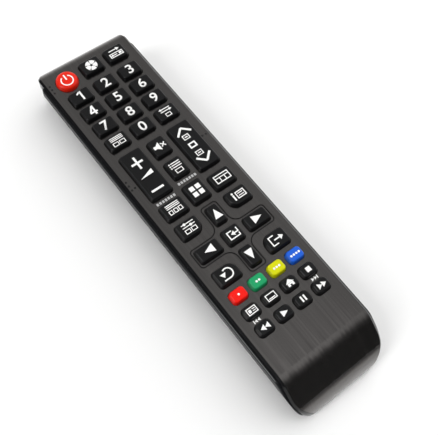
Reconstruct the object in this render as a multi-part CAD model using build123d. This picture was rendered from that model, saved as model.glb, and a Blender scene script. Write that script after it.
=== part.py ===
from build123d import *
import os
from math import asin, cos, degrees, radians, sin

os.makedirs("parts", exist_ok=True)

# Millimetres. X runs across the remote, Y towards its head, Z up from the table.

# Spare lengths that leave no mark: of a cutting body past the piece, and of a joined one into it
past = 1.0
tall = 5.0
sink = 0.5
light_sink = 0.1
near = 0.01

# Battery bay and the stack above it, from the table up
door_thickness = 1.5
battery_diameter = 10.5
battery_play = 0.2
bay_ceiling = 0.9
board_gap = 0.3
board_thickness = 1.2
mat_thickness = 0.8
collar_height = 0.3
press_reserve = 0.2
key_travel = 0.9
flange_thickness = 0.8
flange_play = 0.3
deck_thickness = 1.3
glue_gap = 0.1
face_thickness = 1.0
key_height = 2.2

ceiling_z = door_thickness + battery_diameter + 2 * battery_play
board_z = ceiling_z + bay_ceiling + board_gap
mat_z = board_z + board_thickness
mat_top = mat_z + mat_thickness
flange_z = mat_top + collar_height + press_reserve + key_travel
flange_top = flange_z + flange_thickness
deck_z = flange_top + flange_play
face_z = deck_z + deck_thickness + glue_gap + face_thickness
key_top = face_z + key_height

# Widths
case_width = 48.8
rim_width = 1.1
bevel_width = 1.0
bevel_cut = 0.95
case_wall = 1.6
fitting_inset = 0.2
plug_gap = 1.2
case_half = case_width / 2
lid_half = case_half - rim_width
face_half = lid_half - bevel_width
plug_half = case_half - case_wall - plug_gap

# Depths under the face skin where the pieces part
glue_depth = face_thickness + glue_gap
lid_depth = 1.7
seam = 0.1
case_depth = lid_depth + seam
rim_round = 0.8
lid_inset = 0.3
face_inset = 0.6
deck_depth = glue_depth + deck_thickness

# Underside of the case
side_start_depth = 2.9
side_turn = 58
bottom_radius = 4.2

# Keypad: sizes across X and along Y
number_key = (10.5, 7.5)
top_key = (10.6, 8.2)
power_radius = 5.2
power_shift_x = -0.3
power_shift_y = -0.5
rocker_key = (11.2, 25.8)
small_key = (8.5, 9.6)
wide_key = (11.2, 8.4)
hub_key = (9.3, 10.6)
corner_key = (10.9, 8.2)
corner_round = 4.2
arrow_key = (6.0, 9.7)
side_arrow_key = (11.4, 7.1)
enter_key = (8.5, 8.0)
colour_key = (7.5, 5.85)
key_round = 1.5
colour_round = 1.8

# Keypad: places, from the head end down
column_pitch = 13.0
side_column = 12.6
corner_column = 12.8
colour_pitch = 9.77
head_margin = 11.1
first_step = 11.6
row_pitch = 9.55
rocker_step = 20.15
mute_rise = 7.5
list_fall = 5.1
menu_step = 20.4
hub_rise = 1.2
pad_step = 23.6
arrow_reach = 11.4
side_arrow_reach = 12.5
upper_corner_reach = 12.8
lower_corner_reach = 12.3
colour_step = 21.9
play_pitch = 8.25
face_after_keys = 17.6

# Curves of the face at both ends
lip_radius = 4.0
bend_radius = 8.0
slope = 38
slope_length = 11.0
tail_radius = 11.6

# Corners seen from above
case_tail_round = 9.5
foot_tail_round = 11.0
face_tail_round = 8.6
face_head_round = 5.0
case_head_round = 5.5
mouth_round = 3.0
end_round = 2.5
outline_gap = 0.15
head_step = 0.3
head_reach = 1.0
small_round = 0.5

tail_run = (
    bend_radius * sin(radians(slope))
    + slope_length * cos(radians(slope))
    + tail_radius * (1 - sin(radians(slope)))
)
keypad_run = (
    head_margin + first_step + 3 * row_pitch + rocker_step + menu_step
    + pad_step + colour_step + 2 * play_pitch
)
body_length = keypad_run + face_after_keys + tail_run
head_y = body_length / 2
tail_y = -body_length / 2
bend_y = tail_y + tail_run

# Head cap
cap_length = 5.7
cap_wall = 1.4
cap_round = 4.0
cap_tongue = 3.0
tongue_gap = 0.2
tongue_wall = 0.7
tongue_side_gap = 0.3
cap_y = head_y - cap_length

# Keys
aperture_gap = 0.2
key_draft = 10
crown_round = 0.8
shank_rise = 0.2
flange_reach = 0.6
plunger_radius = 1.8
plunger_drop = 1.2
plunger_gap = 0.3
collar_wall = 0.8
rocker_plunger_reach = 8.5
rocker_tab_length = 5.0
rocker_ridge = 1.0
ridge_gap = 0.15
power_crown_round = 1.5

# Groove round the pad
groove_width = 0.5
groove_depth = 0.5
groove_arm_half = 4.2
groove_side_half = 4.75
groove_reach_y = 17.6
groove_reach_x = 19.3
groove_outer_round = 1.7
groove_inner_round = 4.0

# Board, mat and rails
board_margin = 0.3
mat_margin = 0.6
rail_width = 1.0
rail_height = 1.2
board_head_gap = 5.0
rail_end_gap = 3.4
board_after_keys = 6.8

# Battery bay and door
battery_length = 44.5
battery_pitch = 12.0
spring_room = 4.3
plate_thickness = 0.4
battery_end_gap = 0.1
bay_half = 12.6
bay_wall = 1.0
bay_from_bend = 10.0
door_gap = 0.3
door_margin = 3.2
hinge_height = 1.1
pin_radius = 0.45
pin_length = 0.8
pin_gap = 0.08
pin_end_gap = 0.25
shelf_height = 3.2
latch_width = 9.0
latch_length = 6.0
latch_slot = 0.7
nib_reach = 0.15
nib_low = 0.5
nib_high = 1.2
grip_count = 4
grip_pitch = 2.0
grip_radius = 0.5
grip_from_end = 9.0
divider_thickness = 0.8
divider_drop = 3.2
door_stop_width = 0.6
door_stop_height = 1.4

bay_length = battery_length + spring_room + 2 * plate_thickness + 2 * battery_end_gap
bay_tail = bend_y + bay_from_bend
bay_head = bay_tail + bay_length
door_half = bay_half - door_gap
door_tail = bay_tail - door_margin
hinge_y = bay_head + door_margin
battery_z = door_thickness + battery_play + battery_diameter / 2

# Contacts and batteries
tab_width = 2.0
tab_gap = 0.2
contact_width = 8.4
contact_height = 8.6
wire_radius = 0.25
wire_sink = 0.1
spring_turns = 4
spring_wide = 3.2
spring_narrow = 2.1
nub_length = 1.0
nub_radius = 1.9
battery_round = 0.5

# Small electric parts, hung under the board: sizes, and places from the head end of the bay
led_radius = 2.5
led_length = 8.6
led_flange = 0.5
led_flange_thickness = 1.0
led_height = 9.5
led_gap = 0.3
lead_pitch = 2.54
lead_width = 0.5
lead_run = 3.0
chip_size = (7.5, 17.9, 2.3)
chip_place = (-6.0, 24.0)
chip_legs = 14
leg_pitch = 1.27
leg_width = 0.4
leg_reach = 1.4
leg_thickness = 0.2
resonator_size = (7.4, 3.2, 6.0)
resonator_round = 1.2
resonator_place = (8.5, 18.0)
capacitor_radius = 2.5
capacitor_length = 8.0
capacitor_place = (9.0, 30.0)
transistor_radius = 2.3
transistor_length = 4.6
transistor_flat = 1.2
transistor_drop = 3.7
transistor_legs = (3.2, 0.5)
transistor_place = (8.0, 44.0)


def row_heights():
    """The Y of each row of the keypad, by name."""
    rows = {"top": head_y - head_margin}
    rows["first"] = rows["top"] - first_step
    rows["second"] = rows["first"] - row_pitch
    rows["third"] = rows["second"] - row_pitch
    rows["fourth"] = rows["third"] - row_pitch
    rows["rocker"] = rows["fourth"] - rocker_step
    rows["menu"] = rows["rocker"] - menu_step
    rows["pad"] = rows["menu"] - pad_step
    rows["colour"] = rows["pad"] - colour_step
    rows["manual"] = rows["colour"] - play_pitch
    rows["play"] = rows["manual"] - play_pitch
    return rows


def rounded_outline(width, length, corners):
    """A rectangle with its own radius at each corner, from +X +Y anticlockwise."""
    half_x = width / 2
    half_y = length / 2
    signs = ((1, 1), (-1, 1), (-1, -1), (1, -1))
    arcs = []
    for index, (sign_x, sign_y) in enumerate(signs):
        radius = corners[index]
        centre = (sign_x * (half_x - radius), sign_y * (half_y - radius))
        arcs.append(CenterArc(centre, radius, 90 * index, 90))
    edges = []
    for index, arc in enumerate(arcs):
        following = arcs[(index + 1) % 4]
        edges.append(arc)
        edges.append(Line(arc @ 1, following @ 0))
    return make_face(Wire(edges))


def key_plan(size, big_corner=None, radius=key_round):
    """The outline of one key, where one corner may be rounder."""
    corners = [radius] * 4
    if big_corner is not None:
        corners[big_corner] = corner_round
    return size, corners


def grown(plan, reach):
    """The outline of a key, grown by a reach on every side."""
    (width, length), corners = plan
    radii = [max(radius + reach, 0.2) for radius in corners]
    return rounded_outline(width + 2 * reach, length + 2 * reach, radii)


def key_table():
    """Every rectangular key: its place and its outline."""
    rows = row_heights()
    keys = {
        "key_favourites": (0, rows["top"], key_plan(top_key)),
        "key_input": (column_pitch, rows["top"], key_plan(top_key)),
    }
    numbers = ("first", "second", "third")
    for row, name in enumerate(numbers):
        for column in range(3):
            digit = 3 * row + column + 1
            place = ((column - 1) * column_pitch, rows[name])
            keys[f"key_{digit}"] = (*place, key_plan(number_key))
    for column, name in enumerate(("key_text", "key_0", "key_swap")):
        keys[name] = ((column - 1) * column_pitch, rows["fourth"], key_plan(number_key))

    keys["key_mute"] = (0, rows["rocker"] + mute_rise, key_plan(small_key))
    keys["key_list"] = (0, rows["rocker"] - list_fall, key_plan(small_key))
    keys["key_menu"] = (-side_column, rows["menu"], key_plan(wide_key))
    keys["key_hub"] = (0, rows["menu"] + hub_rise, key_plan(hub_key))
    keys["key_guide"] = (side_column, rows["menu"], key_plan(wide_key))

    pad_y = rows["pad"]
    upper_y = pad_y + upper_corner_reach
    lower_y = pad_y - lower_corner_reach
    keys["key_tools"] = (-corner_column, upper_y, key_plan(corner_key, 3))
    keys["key_info"] = (corner_column, upper_y, key_plan(corner_key, 2))
    keys["key_return"] = (-corner_column, lower_y, key_plan(corner_key, 0))
    keys["key_exit"] = (corner_column, lower_y, key_plan(corner_key, 1))
    keys["key_up"] = (0, pad_y + arrow_reach, key_plan(arrow_key))
    keys["key_down"] = (0, pad_y - arrow_reach, key_plan(arrow_key))
    keys["key_left"] = (-side_arrow_reach, pad_y, key_plan(side_arrow_key))
    keys["key_right"] = (side_arrow_reach, pad_y, key_plan(side_arrow_key))
    keys["key_enter"] = (0, pad_y, key_plan(enter_key))

    lower_rows = {
        "colour": ("key_red", "key_green", "key_yellow", "key_blue"),
        "manual": ("key_manual", "key_subtitle", "key_home", "key_stop"),
        "play": ("key_rewind", "key_play", "key_pause", "key_forward"),
    }
    for row, names in lower_rows.items():
        for column, name in enumerate(names):
            place = ((column - 1.5) * colour_pitch, rows[row])
            keys[name] = (*place, key_plan(colour_key, radius=colour_round))
    return keys


def rocker_table():
    """The two long keys that tilt: their places."""
    y = row_heights()["rocker"]
    return {"key_volume": (-side_column, y), "key_channel": (side_column, y)}


def power_place():
    """The place of the round power key."""
    return (-column_pitch + power_shift_x, row_heights()["top"] + power_shift_y)


def skin(depth):
    """The side view of the face at a depth under it, as edges from tail to head."""
    top = face_z - depth
    head_centre = (head_y - lip_radius, face_z - lip_radius)
    bend_centre = (bend_y, face_z - bend_radius)
    turn = radians(90 + slope)
    run = (-sin(radians(90 - slope)), -cos(radians(90 - slope)))
    bend_end = (bend_y + bend_radius * cos(turn), face_z - bend_radius + bend_radius * sin(turn))
    slope_end = (bend_end[0] + slope_length * run[0], bend_end[1] + slope_length * run[1])
    tail_centre = (slope_end[0] - tail_radius * cos(turn), slope_end[1] - tail_radius * sin(turn))

    tail_arc = CenterArc(tail_centre, tail_radius - depth, 180, slope - 90)
    bend_arc = CenterArc(bend_centre, bend_radius - depth, 90 + slope, -slope)
    head_arc = CenterArc(head_centre, lip_radius - depth, 90, -90)
    return [
        tail_arc,
        Line(tail_arc @ 1, bend_arc @ 0),
        bend_arc,
        Line(bend_arc @ 1, (head_centre[0], top)),
        head_arc,
    ]


def band(top_depth, bottom_depth):
    """The side view of the layer between two depths under the face."""
    upper = skin(top_depth)
    lower = skin(bottom_depth)
    tail_end = Line(upper[0] @ 0, lower[0] @ 0)
    head_end = Line(upper[-1] @ 1, lower[-1] @ 1)
    return make_face(Wire(upper + lower + [tail_end, head_end]))


def body_side(depth):
    """The side view of all that lies under a depth, down to the table."""
    upper = skin(depth)
    tail_point = upper[0] @ 0
    head_point = upper[-1] @ 1
    front = head_y - head_step
    tail_ledge = Line(tail_point, (tail_y, tail_point.Y))
    tail_wall = Line((tail_y, tail_point.Y), (tail_y, end_round))
    tail_round = CenterArc((tail_y + end_round, end_round), end_round, 180, 90)
    head_round = CenterArc((front - end_round, end_round), end_round, 270, 90)
    floor = Line((tail_y + end_round, 0), (front - end_round, 0))
    head_wall = Line((front, end_round), (front, head_point.Y))
    head_ledge = Line((front, head_point.Y), head_point)
    edges = [tail_ledge, tail_wall, tail_round, floor, head_round, head_wall, head_ledge]
    return make_face(Wire(upper + edges))


def at_x(face, x):
    """Stand a side view up at a place across the body."""
    return Plane.YZ.offset(x) * face


def across(face, half_width):
    """A side view run out to both sides."""
    return extrude(at_x(face, 0), amount=half_width, both=True)


def cross_section(inset):
    """The end view of the underside, drawn in by an inset."""
    start_z = face_z - side_start_depth
    turn = radians(side_turn)
    side_radius = (start_z - bottom_radius * (1 - sin(turn))) / sin(turn)
    centre_x = case_half - side_radius
    corner_x = centre_x + (side_radius - bottom_radius) * cos(turn)
    high = face_z + key_height
    edges = []
    for mirror in (1, -1):
        side_start = 0 if mirror == 1 else 180
        side = CenterArc((mirror * centre_x, start_z), side_radius - inset, side_start, -mirror * side_turn)
        corner = CenterArc(
            (mirror * corner_x, bottom_radius),
            bottom_radius - inset,
            side_start - mirror * side_turn,
            mirror * (side_turn - 90),
        )
        upright = Line((mirror * (case_half - inset), high), side @ 0)
        edges += [upright, side, corner]
    edges.append(Line((-(case_half - inset), high), (case_half - inset, high)))
    edges.append(Line((-corner_x, inset), (corner_x, inset)))
    return make_face(Wire(edges))


def along(face, y_from, y_to):
    """An end view run out along Y."""
    stood = Plane(origin=(0, y_from, 0), x_dir=(1, 0, 0), z_dir=(0, -1, 0)) * face
    return extrude(stood, amount=-(y_to - y_from))


def from_above(half_width, tail_round, head_round, y_from, y_to):
    """A tall block with the outline that the body has from above."""
    corners = [head_round, head_round, tail_round, tail_round]
    plan = rounded_outline(2 * half_width, y_to - y_from, corners)
    return extrude(Pos(0, (y_from + y_to) / 2, -tall) * plan, amount=key_top + 2 * tall)


def block(x, y, z):
    """A box between two limits on each axis."""
    size = (x[1] - x[0], y[1] - y[0], z[1] - z[0])
    centre = ((x[0] + x[1]) / 2, (y[0] + y[1]) / 2, (z[0] + z[1]) / 2)
    return Pos(*centre) * Box(*size)


def rod_x(y, z, radius, x_from, x_to):
    """A round bar along X."""
    turned = Pos((x_from + x_to) / 2, y, z) * Rot(0, 90, 0)
    return turned * Cylinder(radius, x_to - x_from)


def rod_y(x, z, radius, y_from, y_to):
    """A round bar along Y."""
    turned = Pos(x, (y_from + y_to) / 2, z) * Rot(90, 0, 0)
    return turned * Cylinder(radius, y_to - y_from)


def side_edges(solid, half_width, level):
    """The straight top edge along each side. A cut on them goes on round the corners."""
    sides = solid.edges().filter_by(Axis.Y)
    high = sides.filter_by_position(Axis.Z, level - near, level + near)
    return [edge for edge in high if abs(abs(edge.center().X) - half_width) < near]


def apertures():
    """The openings that the keys come up through."""
    low = deck_z - past
    height = face_z + past - low
    cuts = []
    for x, y, plan in key_table().values():
        cuts.append(extrude(Pos(x, y, low) * grown(plan, aperture_gap), amount=height))
    for x, y in rocker_table().values():
        plan = key_plan(rocker_key)
        cuts.append(extrude(Pos(x, y, low) * grown(plan, aperture_gap), amount=height))
    x, y = power_place()
    cuts.append(extrude(Pos(x, y, low) * Circle(power_radius + aperture_gap), amount=height))
    return Compound(cuts)


def pad_cross(inset):
    """The cross-shaped outline round the pad, drawn in by an inset."""
    arm_x = groove_arm_half - inset
    arm_y = groove_side_half - inset
    reach_x = groove_reach_x - inset
    reach_y = groove_reach_y - inset
    outer = groove_outer_round - inset
    inner = groove_inner_round + inset
    corners = [
        (arm_x, reach_y, outer), (arm_x, arm_y, inner), (reach_x, arm_y, outer),
        (reach_x, -arm_y, outer), (arm_x, -arm_y, inner), (arm_x, -reach_y, outer),
        (-arm_x, -reach_y, outer), (-arm_x, -arm_y, inner), (-reach_x, -arm_y, outer),
        (-reach_x, arm_y, outer), (-arm_x, arm_y, inner), (-arm_x, reach_y, outer),
    ]
    points = [corner[:2] for corner in corners]
    radii = [corner[2] for corner in corners]
    return make_face(FilletPolyline(*points, radius=radii, close=True))


def face_panel():
    """The thin brushed face with its key openings and the groove round the pad."""
    layer = across(band(0, face_thickness), face_half)
    layer &= from_above(face_half, face_tail_round, face_head_round, tail_y - outline_gap, head_y + head_reach)
    layer &= along(cross_section(face_inset), tail_y - past, head_y + past)
    ring = pad_cross(0) - pad_cross(groove_width)
    pad_y = row_heights()["pad"]
    groove = extrude(Pos(0, pad_y, face_z - groove_depth) * ring, amount=groove_depth + past)
    return layer - apertures() - groove


def upper_case():
    """The lid under the face: bevelled edge, deck with openings, and side ribs."""
    edge = across(band(0, lid_depth), lid_half)
    edge &= from_above(
        lid_half, case_tail_round - rim_width / 2, case_head_round,
        tail_y - outline_gap, head_y + head_reach,
    )
    edge = chamfer(side_edges(edge, lid_half, face_z), bevel_cut)
    edge &= along(cross_section(lid_inset), tail_y - past, head_y + past)
    recess = across(band(-past, glue_depth), face_half + glue_gap)
    recess &= from_above(
        face_half + glue_gap, face_tail_round + glue_gap, face_head_round + glue_gap,
        tail_y - outline_gap - glue_gap, head_y + head_reach + glue_gap,
    )
    inner_tail = tail_y + case_wall + seam
    inner_head = head_y - head_step - cap_wall - seam
    deck = across(band(glue_depth, deck_depth), plug_half)
    deck &= from_above(plug_half, case_tail_round - case_wall, case_head_round, inner_tail, inner_head)
    deck &= along(cross_section(case_wall + seam), tail_y, head_y)
    lid = (edge - recess) + deck
    for side in (-1, 1):
        limits = sorted((side * (plug_half - rail_width), side * plug_half))
        lid += block(limits, (board_tail(), board_head()), (mat_top, deck_z + sink))
    return lid - apertures()


def lower_case():
    """The tub: rounded underside, standing rim, rails, battery bay and door opening."""
    body = across(body_side(case_depth), case_half)
    wide = body & from_above(
        case_half, case_tail_round, mouth_round, tail_y - outline_gap, cap_y - seam
    )
    wide = fillet(side_edges(wide, case_half, face_z - case_depth), rim_round)
    foot_z = (skin(case_depth)[0] @ 0).Y
    foot = block((-case_half, case_half), (tail_y - past, bend_y), (-past, foot_z))
    wide -= foot - from_above(case_half, foot_tail_round, small_round, tail_y - outline_gap, bend_y + past)
    neck = body & from_above(lid_half, small_round, small_round, cap_y - 2 * mouth_round, cap_y - seam)
    outer = (wide + neck) & along(cross_section(0), tail_y - past, head_y)

    hollow = along(cross_section(case_wall), tail_y + case_wall, head_y)
    inside_round = case_tail_round - case_wall
    hollow &= from_above(case_half - case_wall, inside_round, small_round, tail_y + case_wall, head_y)
    tub = outer - hollow

    fittings = rails() + bay_walls()
    return tub + (fittings & along(cross_section(fitting_inset), tail_y + case_wall, cap_y)) - door_opening()


def rails():
    """The two ledges that carry the board."""
    bars = []
    for side in (-1, 1):
        limits = sorted((side * (plug_half - rail_width), side * (case_half - case_wall / 2)))
        low = board_z - rail_height
        bars.append(block(limits, (board_tail(), cap_y - rail_end_gap), (low, board_z)))
    return bars[0] + bars[1]


def bay_walls():
    """The walls, ceiling, divider and door stops of the battery bay."""
    outside = bay_half + bay_wall
    edge = door_gap + bay_wall
    floor_zone = (door_tail - edge, hinge_y + hinge_height + edge)
    walls = block((-outside, outside), floor_zone, (0, shelf_height))
    walls += block(
        (-outside, outside),
        (bay_tail - bay_wall, bay_head + bay_wall),
        (0, ceiling_z + bay_ceiling),
    )
    walls -= block((-bay_half, bay_half), (bay_tail, bay_head), (-past, ceiling_z))
    half = divider_thickness / 2
    walls += block((-half, half), (bay_tail, bay_head), (ceiling_z - divider_drop, ceiling_z + light_sink))
    stop_z = door_thickness + door_gap
    for side in (-1, 1):
        limits = sorted((side * (bay_half - door_stop_width), side * (bay_half + light_sink)))
        walls += block(limits, (bay_tail, bay_head), (stop_z, stop_z + door_stop_height))
    for x in (-battery_pitch / 2, battery_pitch / 2):
        walls -= tab_slot(x)
    return walls


def tab_slot(x):
    """The slot in the bay ceiling for the solder tab of a head-end contact."""
    half = tab_width / 2 + tab_gap
    slot_y = (bay_head - plate_thickness - tab_gap, bay_head + tab_gap)
    return block((x - half, x + half), slot_y, (ceiling_z - light_sink, ceiling_z + bay_ceiling + past))


def door_opening():
    """The opening in the underside that the battery door fills."""
    high = door_thickness + door_gap
    cut = block((-bay_half, bay_half), (door_tail - door_gap, hinge_y), (-past, high))
    cut += rod_x(hinge_y, hinge_height, hinge_height + door_gap, -bay_half, bay_half)
    low_limits = (hinge_y - hinge_height, hinge_y + hinge_height + door_gap)
    cut += block((-bay_half, bay_half), low_limits, (-past, hinge_height))
    reach = door_half + pin_length + pin_end_gap
    return cut + rod_x(hinge_y, hinge_height, pin_radius + pin_gap, -reach, reach)


def battery_door():
    """The door: plate, hinge barrel with pins, sprung latch and finger grooves."""
    plate = block((-door_half, door_half), (door_tail, hinge_y), (0, door_thickness))
    plate &= along(cross_section(0), tail_y, head_y)
    door = plate + rod_x(hinge_y, hinge_height, hinge_height, -door_half, door_half)
    reach = door_half + pin_length
    door += rod_x(hinge_y, hinge_height, pin_radius, -reach, reach)
    half = latch_width / 2
    for side in (-1, 1):
        limits = sorted((side * half, side * (half + latch_slot)))
        door -= block(limits, (door_tail - past, door_tail + latch_length), (-past, door_thickness + past))
    door += block((-half, half), (door_tail - nib_reach, door_tail + sink), (nib_low, nib_high))
    for index in range(grip_count):
        y = door_tail + grip_from_end + grip_pitch * index
        door -= rod_x(y, 0, grip_radius, -half, half)
    return door


def infrared_window():
    """The dark cap over the head end, with a tongue into the case."""
    outer = along(cross_section(rim_width), cap_y, head_y - head_step)
    outer &= across(body_side(case_depth), case_half)
    outer &= from_above(lid_half, small_round, cap_round, cap_y - past, head_y - head_step)
    inner_half = lid_half - cap_wall
    hollow = along(cross_section(rim_width + cap_wall), cap_y - past, head_y - head_step - cap_wall)
    inner_round = cap_round - cap_wall
    inner_head = head_y - head_step - cap_wall
    hollow &= from_above(inner_half, small_round, inner_round, cap_y - 2 * past, inner_head)
    inset = case_wall + tongue_gap
    tongue = along(cross_section(inset), cap_y - cap_tongue, cap_y + cap_wall)
    tongue -= along(cross_section(inset + tongue_wall), cap_y - cap_tongue - past, cap_y + cap_wall + past)
    tongue &= across(body_side(case_depth + 0.2), case_half)
    tongue &= from_above(
        lid_half - tongue_side_gap, small_round, small_round, cap_y - cap_tongue - past, head_y
    )
    return (outer - hollow) + tongue


def board_tail():
    """The tail end of the board and the mat."""
    return row_heights()["play"] - board_after_keys


def board_head():
    """The head end of the board and the mat."""
    return head_y - board_head_gap


def circuit_board():
    """The board that the mat lies on."""
    half = plug_half - board_margin
    return block((-half, half), (board_tail(), board_head()), (board_z, mat_z))


def plunger_places():
    """Where a plunger comes down through the mat."""
    places = [(x, y) for x, y, _ in key_table().values()]
    places.append(power_place())
    for x, y in rocker_table().values():
        places += [(x, y + rocker_plunger_reach), (x, y - rocker_plunger_reach)]
    return places


def keypad_mat():
    """The rubber mat, with a collar and a hole for every plunger."""
    half = plug_half - mat_margin
    sheet = block((-half, half), (board_tail(), board_head()), (mat_z, mat_top))
    hole = plunger_radius + plunger_gap
    spots = plunger_places()
    collars = [Pos(x, y, 0) * Circle(hole + collar_wall) for x, y in spots]
    holes = [Pos(x, y, 0) * Circle(hole) for x, y in spots]
    rise = collar_height + light_sink
    raised = extrude(Pos(0, 0, mat_top - light_sink) * Sketch(children=collars), amount=rise)
    depth = mat_thickness + collar_height + 2 * past
    bores = extrude(Pos(0, 0, mat_z - past) * Sketch(children=holes), amount=depth)
    return sheet + raised - bores


def crown(plan, rounding):
    """The part of a key that stands above the face, drafted and rounded."""
    foot_z = face_z - shank_rise
    taper_height = key_top - foot_z
    body = extrude(Pos(0, 0, foot_z) * plan, amount=taper_height, taper=key_draft)
    top = body.faces().sort_by(Axis.Z)[-1]
    return fillet(top.edges(), rounding)


def press_key(plan):
    """A key that presses straight down: crown, shank, flange and plunger."""
    outline = grown(plan, 0)
    key = crown(outline, crown_round)
    key += extrude(Pos(0, 0, flange_z) * outline, amount=face_z - shank_rise - flange_z)
    key += extrude(Pos(0, 0, flange_z) * grown(plan, flange_reach), amount=flange_thickness)
    foot = Pos(0, 0, flange_z - plunger_drop / 2) * Cylinder(plunger_radius, plunger_drop)
    return key + foot


def power_key():
    """The round power key."""
    key = crown(Circle(power_radius), power_crown_round)
    shank_height = face_z - shank_rise - flange_z
    key += Pos(0, 0, flange_z + shank_height / 2) * Cylinder(power_radius, shank_height)
    flange = Cylinder(power_radius + flange_reach, flange_thickness)
    key += Pos(0, 0, flange_z + flange_thickness / 2) * flange
    foot = Pos(0, 0, flange_z - plunger_drop / 2) * Cylinder(plunger_radius, plunger_drop)
    return key + foot


def rocker():
    """A long key that tilts on a ridge under its middle."""
    outline = grown(key_plan(rocker_key), 0)
    key = crown(outline, crown_round)
    key += extrude(Pos(0, 0, flange_z) * outline, amount=face_z - shank_rise - flange_z)
    tab = Box(rocker_key[0] + 2 * flange_reach, rocker_tab_length, flange_thickness)
    key += Pos(0, 0, flange_z + flange_thickness / 2) * tab
    ridge_height = flange_z - mat_top - ridge_gap
    ridge = Box(rocker_key[0], rocker_ridge, ridge_height)
    key += Pos(0, 0, flange_z - ridge_height / 2) * ridge
    for side in (-1, 1):
        foot = Cylinder(plunger_radius, plunger_drop)
        key += Pos(0, side * rocker_plunger_reach, flange_z - plunger_drop / 2) * foot
    return key


def contact_plate(x, y_wall, direction):
    """The flat plate of a contact against an end wall of the bay."""
    half = contact_width / 2
    limits_y = sorted((y_wall, y_wall + direction * plate_thickness))
    low = battery_z - contact_height / 2
    return block((x - half, x + half), limits_y, (low, ceiling_z))


def solder_tab(x):
    """The tab that runs up from a head-end contact to the board."""
    half = tab_width / 2
    limits_y = (bay_head - plate_thickness, bay_head)
    return block((x - half, x + half), limits_y, (ceiling_z - sink, board_z))


def coil(x, y_wall, direction):
    """A conical spring from an end wall towards the battery."""
    free_length = spring_room - 2 * wire_radius
    start = y_wall + direction * (plate_thickness + wire_radius - wire_sink)
    cone = degrees(asin((spring_wide - spring_narrow) / free_length))
    centre_line = Helix(
        pitch=free_length / spring_turns,
        height=free_length,
        radius=spring_wide,
        cone_angle=-cone,
    )
    wire = Plane(origin=centre_line @ 0, z_dir=centre_line % 0) * Circle(wire_radius)
    spring = sweep(wire, path=centre_line, is_frenet=True)
    return Pos(x, start, battery_z) * Rot(-90 * direction, 0, 0) * spring


def negative_contact():
    """Plate, spring and solder tab at the head end of the bay."""
    x = battery_pitch / 2
    return contact_plate(x, bay_head, -1) + solder_tab(x) + coil(x, bay_head, -1)


def positive_contact():
    """Plate and solder tab that meet the nub of the first battery."""
    x = -battery_pitch / 2
    return contact_plate(x, bay_head, -1) + solder_tab(x)


def bridge_contact():
    """The plate that joins both batteries at the tail end, with one spring."""
    x = -battery_pitch / 2
    half = battery_pitch / 2 + contact_width / 2
    low = battery_z - contact_height / 2
    high = ceiling_z - divider_drop - 0.2
    plate = block((-half, half), (bay_tail, bay_tail + plate_thickness), (low, high))
    return plate + coil(x, bay_tail, 1)


def battery():
    """One cell along Y, its nub towards +Y and its centre line on the origin."""
    standing = (Align.CENTER, Align.CENTER, Align.MIN)
    can = Cylinder(battery_diameter / 2, battery_length - nub_length, align=standing)
    can = fillet(can.edges().filter_by(GeomType.CIRCLE), battery_round)
    nub = Cylinder(nub_radius, battery_length, align=standing)
    return Rot(-90, 0, 0) * (can + nub)


def infrared_led():
    """The lamp behind the head cap, with its two leads up to the board."""
    tip_y = head_y - head_step - cap_wall - led_gap
    base_y = tip_y - led_length
    lamp = rod_y(0, led_height, led_radius, base_y, tip_y - led_radius)
    lamp += Pos(0, tip_y - led_radius, led_height) * Sphere(led_radius)
    lamp += rod_y(0, led_height, led_radius + led_flange, base_y, base_y + led_flange_thickness)
    half = lead_width / 2
    for side in (-1, 1):
        x = side * lead_pitch / 2
        across_x = (x - half, x + half)
        lamp += block(across_x, (base_y - lead_run, base_y + sink), (led_height - half, led_height + half))
        corner_y = (base_y - lead_run, base_y - lead_run + lead_width)
        lamp += block(across_x, corner_y, (led_height - half, board_z))
    return lamp


def controller_chip():
    """The chip under the board with its two rows of legs."""
    width, length, height = chip_size
    x = chip_place[0]
    y = bay_head + chip_place[1]
    sides = (x - width / 2, x + width / 2)
    chip = block(sides, (y - length / 2, y + length / 2), (board_z - height, board_z))
    span = (sides[0] - leg_reach, sides[1] + leg_reach)
    for index in range(chip_legs):
        leg_y = y + (index - (chip_legs - 1) / 2) * leg_pitch
        limits = (leg_y - leg_width / 2, leg_y + leg_width / 2)
        chip += block(span, limits, (board_z - leg_thickness, board_z))
    return chip


def hung(shape, place):
    """A part whose top is on the origin, moved up against the underside of the board."""
    return Pos(place[0], bay_head + place[1], board_z) * shape


def ceramic_resonator():
    """The clock part beside the chip."""
    part = Box(*resonator_size, align=(Align.CENTER, Align.CENTER, Align.MAX))
    return hung(fillet(part.edges().filter_by(Axis.Z), resonator_round), resonator_place)


def capacitor():
    """The can that steadies the supply."""
    hanging = (Align.CENTER, Align.CENTER, Align.MAX)
    return hung(Cylinder(capacitor_radius, capacitor_length, align=hanging), capacitor_place)


def driver_transistor():
    """The switch that drives the lamp: a flat-fronted body on its legs."""
    hanging = (Align.CENTER, Align.CENTER, Align.MAX)
    body = Cylinder(transistor_radius, transistor_length, align=hanging)
    side = transistor_radius + past
    body -= block((-side, side), (transistor_flat, side), (-transistor_length - past, past))
    body = Pos(0, 0, -transistor_drop) * body
    legs = Box(*transistor_legs, transistor_drop + sink, align=hanging)
    return hung(body + legs, transistor_place)


def save(name, solid):
    """Write one named piece."""
    solid.label = name
    export_step(solid, f"parts/{name}.step")


save("face_panel", face_panel())
save("upper_case", upper_case())
save("lower_case", lower_case())
save("infrared_window", infrared_window())
save("battery_door", battery_door())
save("circuit_board", circuit_board())
save("keypad_mat", keypad_mat())
save("infrared_led", infrared_led())
save("controller_chip", controller_chip())
save("ceramic_resonator", ceramic_resonator())
save("capacitor", capacitor())
save("driver_transistor", driver_transistor())
save("negative_contact", negative_contact())
save("positive_contact", positive_contact())
save("bridge_contact", bridge_contact())

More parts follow.
